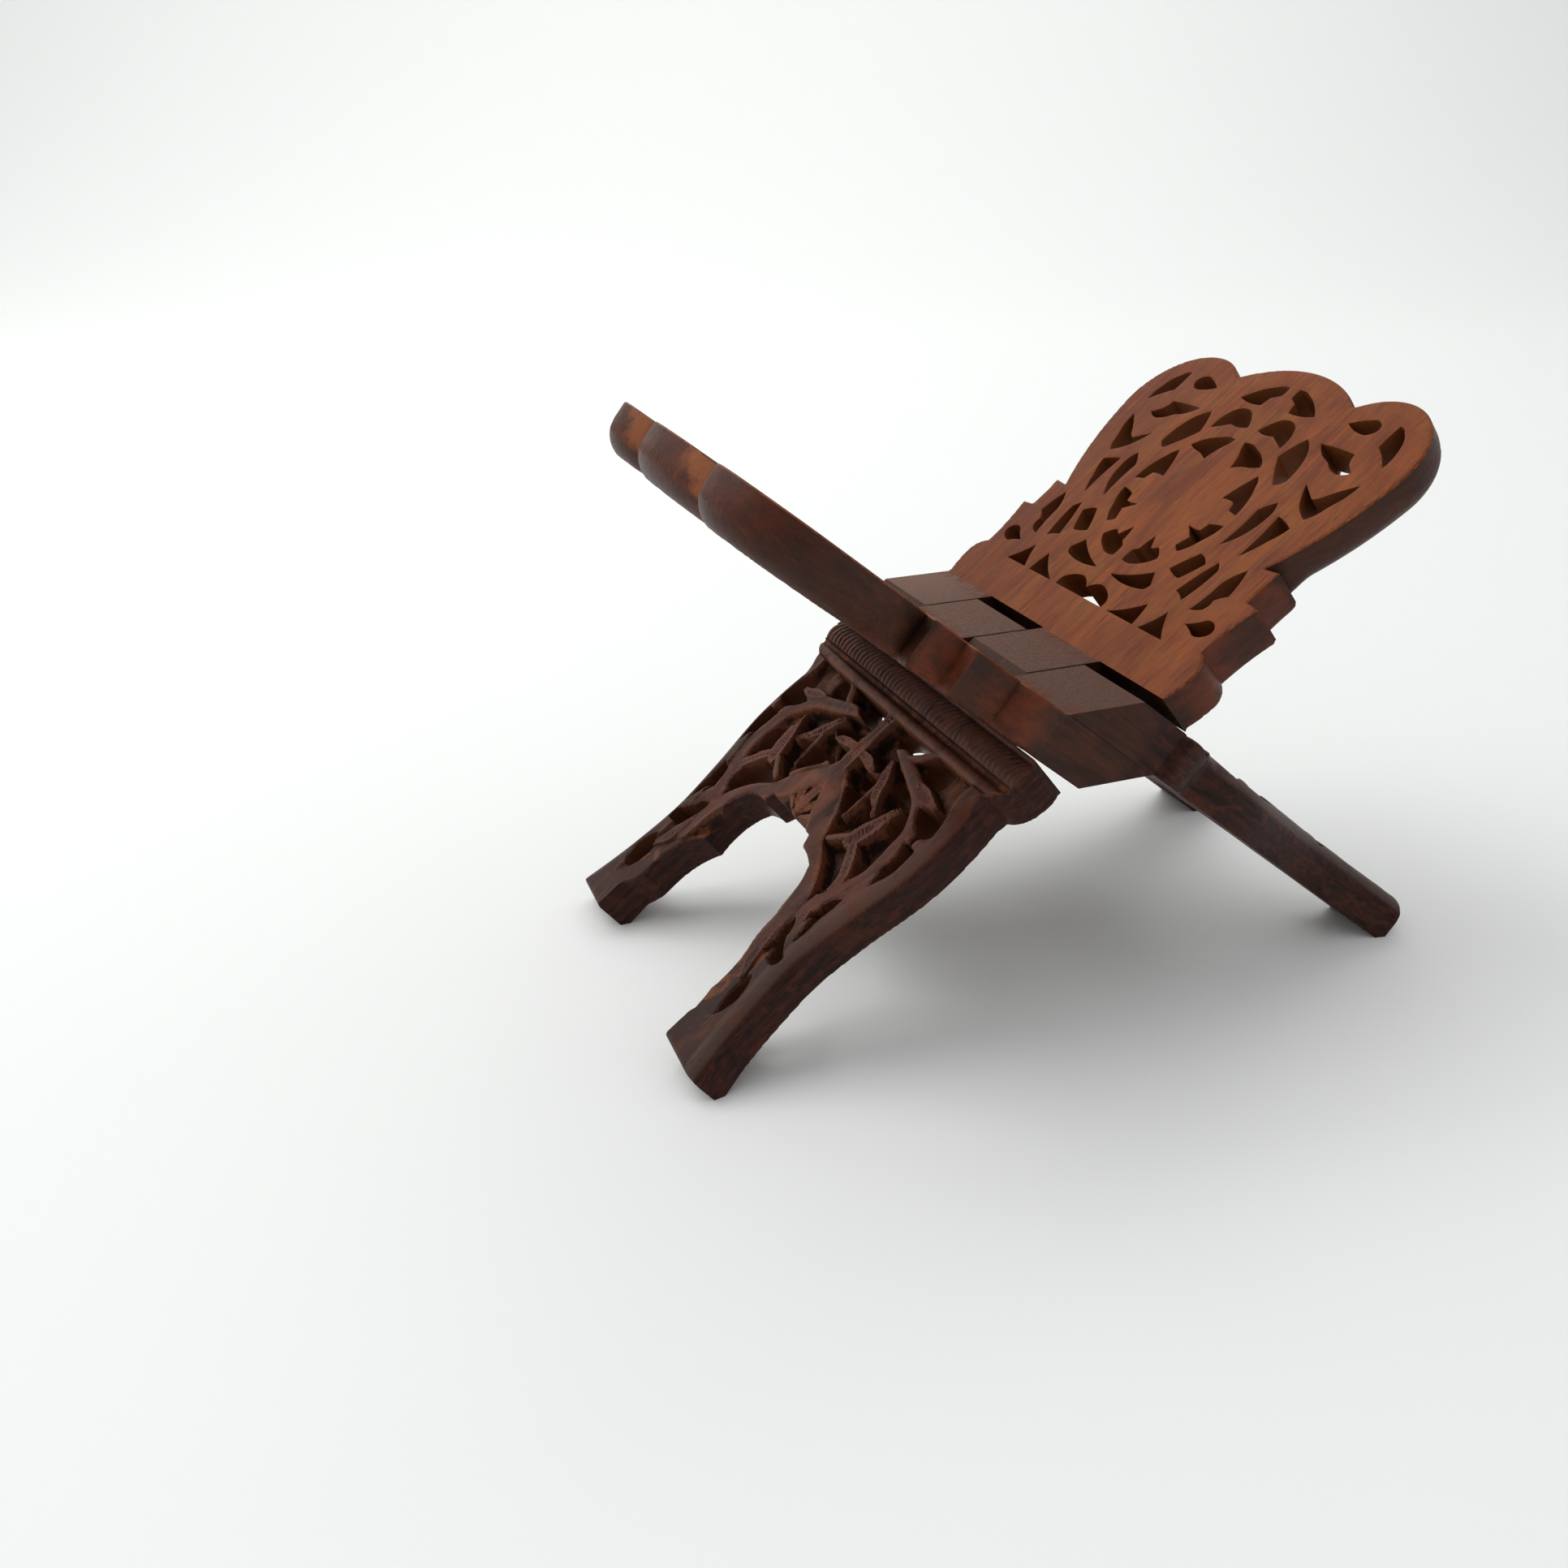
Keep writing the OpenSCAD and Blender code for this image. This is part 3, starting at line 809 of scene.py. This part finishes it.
class Plank(Nodes):
    """Where a point of a leaf lies in its plank, which surface it is on, and the grain of the wood there."""

    def __init__(self, name, turn, move):
        super().__init__(name)
        self.place(turn)
        self.surfaces()
        self.grain(move)

    def place(self, turn):
        """Plank coordinates u, y, v, the surface's direction in them, and y in the row's own frame."""
        half_turn = (0, 0, 0 if turn > 0 else math.pi)
        at = self.add("ShaderNodeTexCoord", out=TEXCOORD_OBJECT)
        at = self.mapped(self.mapped(at, move=(0, 0, -HINGE / 1000)), turn=half_turn)
        self.at = self.mapped(at, turn=(0, LEAN, 0), scale=(1000, 1000, 1000))
        facing = self.mapped(self.add("ShaderNodeTexCoord", out=TEXCOORD_NORMAL), turn=half_turn)
        facing = self.mapped(facing, turn=(0, LEAN, 0))
        self.u, self.y, self.v = self.split(self.at, 3)
        self.normal_u, self.normal_y = self.split(facing, 2)
        self.across = self.times(self.y, float(turn))

    def surfaces(self):
        """Masks, each 1 on the surface that it is named after."""
        steep = self.size_of(self.normal_u)
        self.carved = self.attribute("carved")
        self.height = self.attribute("height")
        self.edge = self.ramp(self.size_of(self.normal_y), 0.45, 0.75)
        self.rim = self.ramp(steep, 0.6, 0.4)
        self.lower = self.ramp(self.v, -8.0, -16.0)
        upper = self.ramp(self.v, 8.0, 16.0)
        self.book = self.times(upper, self.ramp(self.normal_u, 0.6, 0.85))
        self.walls = self.times(self.attribute("inner"), self.ramp(steep, 0.5, 0.25))
        slanted = self.times(self.ramp(self.normal_u, 0.3, 0.5), self.ramp(self.normal_u, 0.9, 0.8))
        at_hinge = self.times(self.ramp(self.v, 24.0, 22.0), self.ramp(self.v, -2.0, 0.0))
        self.flats = self.times(slanted, at_hinge)

    def lumps(self, scale, move, detail, rough):
        return self.noise(self.mapped(self.at, scale, move=move), detail, rough)

    def grain(self, move):
        """Rings of the log cut lengthwise, streaks, fine fibres and pores, then uneven colour and dents."""
        wander = self.lumps((0.02, 0.02, 0.006), move, 3.0, 0.6)
        rings = self.plus(self.times(self.y, 0.09), self.times(self.u, 0.16), self.times(wander, 9.0))
        rings = self.add("ShaderNodeCombineXYZ", {0: rings, 1: self.times(self.v, 0.008), 2: 3.0})
        self.figure = self.noise(rings, 4.0, 0.62)
        self.streak = self.lumps((0.50, 0.50, 0.030), move, 4.0, 0.75)
        self.fibre = self.lumps((1.6, 1.6, 0.045), move, 4.0, 0.65)
        self.pore = self.ramp(self.lumps((2.2, 2.2, 0.12), move, 2.0, 0.5), 0.38, 0.28)
        self.smear = self.lumps((0.035, 0.035, 0.018), move, 4.0, 0.6)
        self.patch = self.lumps((0.06, 0.06, 0.035), (move[1], move[2], move[0]), 4.0, 0.6)
        self.mottle = self.lumps((0.16, 0.16, 0.10), move, 4.0, 0.65)
        self.dents = self.lumps((0.35, 0.35, 0.2), move, 2.0, 0.5)


def book_side(n):
    """Fresh wood, streaked with the grain and browner towards the stand's far end."""
    colour = n.colour(n.ramp(n.figure, 0.32, 0.68), HEART_RED, HEART_ORANGE)
    colour = n.colour(n.ramp(n.smear, 0.42, 0.62, 0.0, 0.5), colour, BROWN_SMEAR)
    colour = n.colour(n.ramp(n.patch, 0.46, 0.64, 0.0, 0.6), colour, YELLOW_PATCH)
    colour = n.colour(n.ramp(n.across, 25.0, 70.0, 0.0, 0.75), colour, FAR_BROWN)
    colour = n.colour(n.ramp(n.streak, 0.52, 0.30, 0.0, 0.65), colour, DARK_STREAK)
    colour = n.colour(n.ramp(n.streak, 0.52, 0.72, 0.0, 0.5), colour, BRIGHT_STREAK)
    return n.colour(n.times(n.ramp(n.fibre, 0.35, 0.7), 0.5), colour, ORANGE_FIBRE)


def stained_rest(n):
    """Dark stain of the book rest's edge and outer side, worn through in bands along the edge."""
    colour = n.colour(n.ramp(n.figure, 0.30, 0.70), STAIN_DARK, STAIN_RED)
    colour = n.colour(n.ramp(n.mottle, 0.35, 0.70, 0.0, 0.6), colour, STAIN_GREY)
    colour = n.colour(n.ramp(n.streak, 0.45, 0.65, 0.0, 0.4), colour, STAIN_STREAK)
    worn = n.plus(n.band(n.v, 35.0, 45.0, 12.0), n.band(n.v, 65.5, 76.0, 3.0),
                  n.ramp(n.v, 130.0, 150.0, 0.0, 0.35))
    worn = n.times(worn, n.rim, n.ramp(n.mottle, 0.68, 0.36, 0.2, 0.75))
    return n.colour(worn, colour, WORN_RED)


def crest_wear_and_sheen(n, colour):
    """Beside the crest's inner corners: bare wood just past each of them, a painted grey sheen before it."""
    past = n.wrap(n.plus(n.y, CREST_CORNER), 0.0, 2 * CREST_CORNER)
    crest = n.times(n.rim, n.ramp(n.v, 124.0, 134.0))
    slanted = n.math("SUBTRACT", past, n.times(n.plus(n.u, THICK), 0.8))
    ragged = n.plus(slanted, n.times(n.math("SUBTRACT", n.mottle, 0.5), 16.0))
    bare = n.times(crest, n.ramp(ragged, 4.0, -4.0))
    # painted sheen: a grey band over the crest's rounded rim before each corner
    crest_sheen = n.times(crest, n.ramp(past, 48.0, 63.0))
    colour = n.colour(n.times(bare, 0.8), colour, BARE_ORANGE)
    return n.colour(n.times(crest_sheen, 0.6), colour, CREST_SHEEN)


def carved_legs(n):
    """Stained carving, with a painted orange highlight on the palmette and bud, darker to the feet, and a
    painted grey sheen along the arris.
    """
    colour = n.colour(n.ramp(n.figure, 0.32, 0.68), LEG_DARK, LEG_BROWN)
    colour = n.colour(n.ramp(n.mottle, 0.40, 0.70, 0.0, 0.5), colour, LEG_GREY)
    colour = n.colour(n.ramp(n.v, -95.0, -150.0, 0.0, 0.65), colour, FOOT_DARK)
    # painted highlight: orange on the palmette and bud
    palmette = n.times(n.band(n.v, -90.0, -77.0, 5.0), n.band(n.y, -10.0, 9.0, 6.0))
    bud = n.times(n.band(n.v, -61.0, -56.0, 3.0), n.band(n.y, -9.0, 10.0, 5.0))
    palmette_and_bud_highlight = n.times(n.plus(palmette, bud), n.ramp(n.mottle, 0.62, 0.42, 0.1, 0.7))
    colour = n.colour(palmette_and_bud_highlight, colour, PALMETTE_HIGHLIGHT)
    # painted sheen: grey along the rounded arris of the rail, where the carved side turns into the edge
    arris = n.times(n.band(n.size_of(n.normal_y), 0.35, 0.75, 0.18), n.ramp(n.normal_u, 0.35, 0.55))
    arris = n.times(arris, n.ramp(n.v, -50.0, -62.0), n.ramp(n.carved, 0.1, 0.0, 0.0, 0.45))
    return n.colour(arris, colour, ARRIS_SHEEN)


def leg_edges(n):
    """Nearly black edges of the legs, streaked red."""
    colour = n.colour(n.ramp(n.streak, 0.34, 0.66), LEG_EDGE_DARK, LEG_EDGE_RED)
    colour = n.colour(n.ramp(n.mottle, 0.42, 0.70, 0.0, 0.4), colour, LEG_EDGE_MOTTLE)
    return n.colour(n.ramp(n.dents, 0.56, 0.66, 0.0, 0.5), colour, LEG_EDGE_DENT)


def sawn_flats(n):
    """Dull unstained flats of the knuckles, darkened as painted shade towards the stand's near end and paled
    as painted light towards its far end, a dark seam between them.
    """
    colour = n.colour(n.ramp(n.fibre, 0.35, 0.65), SAWN_DARK, SAWN_LIGHT)
    colour = n.colour(n.ramp(n.across, 30.0, -80.0, 0.0, 0.45), colour, SAWN_NEAR_SHADE)
    colour = n.colour(n.ramp(n.across, 20.0, 80.0, 0.0, 0.6), colour, SAWN_FAR_LIGHT)
    chipped = n.times(n.ramp(n.v, 16.0, 20.0), n.ramp(n.dents, 0.40, 0.60))
    colour = n.colour(n.times(chipped, 0.75), colour, SAWN_CHIPPED)
    seam = n.wrap(n.plus(n.y, n.times(n.mottle, 0.9)), -KNUCKLE / 2, KNUCKLE / 2)
    from_seam = n.size_of(n.math("SUBTRACT", seam, 0.45))
    return n.colour(n.ramp(from_seam, 1.1, 0.5, 0.0, 0.7), colour, SEAM_DARK)


def all_surfaces(n):
    """The colour of each surface in its own place."""
    rest = crest_wear_and_sheen(n, stained_rest(n))
    outer_legs = n.colour(n.edge, rest, leg_edges(n))
    outer_legs = n.colour(n.ramp(n.normal_u, 0.3, 0.55), outer_legs, carved_legs(n))
    colour = n.colour(n.lower, rest, outer_legs)
    colour = n.colour(n.ramp(n.patch, 0.55, 0.72, 0.0, 0.45), colour, RED_CAST)
    colour = n.colour(n.times(n.walls, 0.85), colour, n.colour(n.lower, REST_WALL, LEG_WALL))
    colour = n.colour(n.book, colour, book_side(n))
    scribed = n.times(n.band(n.u, -0.1, 0.1, 0.4), n.band(n.v, -19.0, 19.0, 3.0), n.edge)
    colour = n.colour(n.times(scribed, 0.8), colour, SCRIBED_LINE)
    colour = n.colour(n.flats, colour, sawn_flats(n))
    return n.colour(n.times(n.pore, 0.6), colour, PORE_DARK)


def painted_shade_and_wear(n, colour):
    """Painted shade in the ground, hollows and crevices of the carving, rubbed tops lightened partly as a
    painted highlight, and orange chips on it.
    """
    # painted shade: the deeper the carving's ground is sunk, the darker it is painted
    colour = n.colour(n.ramp(n.carved, 0.40, 0.95, 0.0, 0.60), colour, SUNK_GROUND_SHADE)
    # painted shade in the hollows, where a point lies lower than the carving round it
    colour = n.colour(n.ramp(n.height, 0.45, 0.15, 0.0, 0.6), colour, HOLLOW_SHADE)
    # tops that stand over the carving round them are lightened, partly as rubbed wear and partly as a
    # painted highlight
    colour = n.colour(n.ramp(n.height, 0.55, 0.82, 0.0, 0.65), colour, RUBBED_TOP_HIGHLIGHT)
    chips = n.times(n.ramp(n.carved, 0.10, 0.25), n.ramp(n.mottle, 0.50, 0.62))
    colour = n.colour(n.times(chips, 0.7), colour, CHIP_ORANGE)
    # painted shade: darker where ambient occlusion finds the surface closed in, less on the walls of the
    # openings
    open_sky = n.add("ShaderNodeAmbientOcclusion", {"Distance": 0.010}, out=OCCLUSION_VALUE,
                     samples=8)
    painted_crevice_shade = n.times(n.ramp(open_sky, 0.7, 0.2, 0.0, 0.6), n.ramp(n.walls, 0.0, 1.0, 1.0, 0.35))
    return n.colour(painted_crevice_shade, colour, CREVICE_SHADE)


def wood(name, turn, move):
    """Oiled sheesham, its grain along the plank: book side orange-brown, carved sides and edges stained."""
    n = Plank(name, turn, move)
    rough = n.plus(n.ramp(n.fibre, 0.3, 0.7, 0.36, 0.50), n.times(n.flats, 0.26))
    rough = n.math("ADD", rough, n.ramp(n.height, 0.5, 0.2, 0.0, 0.25), clamp=True)
    relief = n.plus(n.times(n.fibre, 0.6), n.times(n.pore, -0.8), n.times(n.streak, 0.8),
                    n.times(n.dents, 1.4))
    bump = n.add("ShaderNodeBump", {"Strength": 0.4, "Distance": 0.0004, "Height": relief})
    n.put(n.shader.inputs["Base Color"], painted_shade_and_wear(n, all_surfaces(n)))
    n.put(n.shader.inputs["Roughness"], rough)
    n.put(n.shader.inputs["Normal"], bump)
    n.shader.inputs["IOR"].default_value = 1.5
    n.shader.inputs["Specular IOR Level"].default_value = 0.14
    return n.material


# ---------------------------------------------------------------- studio

AZIMUTH = math.radians(-20.74)
ELEVATION = math.radians(25.65)
ROLL = math.radians(-0.44)
CAMERA_PLACE = (-0.24814, -0.43038, 0.29458)
LENS = 32.46
SENSOR = 36


def camera():
    back = Vector((math.sin(AZIMUTH) * math.cos(ELEVATION),
                   -math.cos(AZIMUTH) * math.cos(ELEVATION),
                   math.sin(ELEVATION)))
    level = (-back).cross(Vector((0, 0, 1))).normalized()
    up = level.cross(-back)
    right = math.cos(ROLL) * level + math.sin(ROLL) * up
    over = -math.sin(ROLL) * level + math.cos(ROLL) * up
    data = bpy.data.cameras.new("camera")
    data.sensor_width = SENSOR
    data.lens = LENS
    cam = bpy.data.objects.new("camera", data)
    bpy.context.scene.collection.objects.link(cam)
    place = Matrix((right, over, back)).transposed().to_4x4()
    place.translation = Vector(CAMERA_PLACE)
    cam.matrix_world = place
    bpy.context.scene.camera = cam


def backdrop():
    """Pale floor that sweeps up into a wall far behind, square to the camera."""
    front, start, radius, top, half = -3.0, 1.6, 1.2, 4.0, 4.0
    profile = [(front, 0.0), (start, 0.0)]
    steps = 24
    for i in range(1, steps + 1):
        a = math.pi / 2 * i / steps
        profile.append((start + radius * math.sin(a), radius * (1 - math.cos(a))))
    profile.append((start + radius, top))
    verts = [(x, y, z) for y, z in profile for x in (-half, half)]
    faces = [(2 * i, 2 * i + 1, 2 * i + 3, 2 * i + 2) for i in range(len(profile) - 1)]
    mesh = bpy.data.meshes.new("backdrop")
    mesh.from_pydata(verts, [], faces)
    mesh.polygons.foreach_set("use_smooth", [True] * len(faces))
    obj = bpy.data.objects.new("backdrop", mesh)
    bpy.context.scene.collection.objects.link(obj)
    obj.rotation_euler = (0, 0, AZIMUTH)
    n = Nodes("backdrop")
    n.shader.inputs["Base Color"].default_value = rgb(0.91, 0.92, 0.90)
    n.shader.inputs["Roughness"].default_value = 0.9
    mesh.materials.append(n.material)


def lamp(name, place, size, power, aim=(0, 0, 0.1), glossy=True):
    data = bpy.data.lights.new(name, "AREA")
    data.shape = "RECTANGLE"
    data.size, data.size_y = size
    data.energy = power
    obj = bpy.data.objects.new(name, data)
    bpy.context.scene.collection.objects.link(obj)
    obj.location = place
    obj.rotation_euler = (Vector(aim) - Vector(place)).to_track_quat("-Z", "Y").to_euler()
    obj.visible_glossy = glossy


def lights():
    """A sky that is brighter behind the stand, a soft key lamp, and a wide lamp aimed at the backdrop."""
    world = bpy.data.worlds.new("world")
    bpy.context.scene.world = world
    world.use_nodes = True
    nodes, links = world.node_tree.nodes, world.node_tree.links
    sky = nodes["Background"]
    sky.inputs["Color"].default_value = rgb(0.97, 0.98, 1.0)
    way = nodes.new("ShaderNodeTexCoord")
    parts = nodes.new("ShaderNodeSeparateXYZ")
    fade = nodes.new("ShaderNodeMapRange")
    links.new(way.outputs["Generated"], parts.inputs[0])
    links.new(parts.outputs["Y"], fade.inputs["Value"])
    fade.inputs["From Min"].default_value = -0.9
    fade.inputs["From Max"].default_value = 0.9
    fade.inputs["To Min"].default_value = 0.36
    fade.inputs["To Max"].default_value = 1.06
    links.new(fade.outputs["Result"], sky.inputs["Strength"])
    lamp("key", (-1.1, 0.7, 1.7), (1.6, 1.2), 17)
    lamp("wash", (0.4, 1.8, 2.4), (3.0, 1.4), 25, aim=(0.5, 2.6, 0.0), glossy=False)


camera()
backdrop()
lights()
WOODS = (("carved_left_leaf", "left_leaf", "left", 1, 31, "left_wood", (13.0, 41.0, 7.0)),
         ("carved_right_leaf", "right_leaf", "right", -1, 67, "right_wood", (57.0, 3.0, 29.0)))
for name, node_name, body, turn, seed, slot, move in WOODS:
    piece = leaf(name, node_name, body, turn, seed)
    piece.data.materials.append(wood(slot, turn, move))
bpy.context.scene.view_settings.view_transform = "Standard"
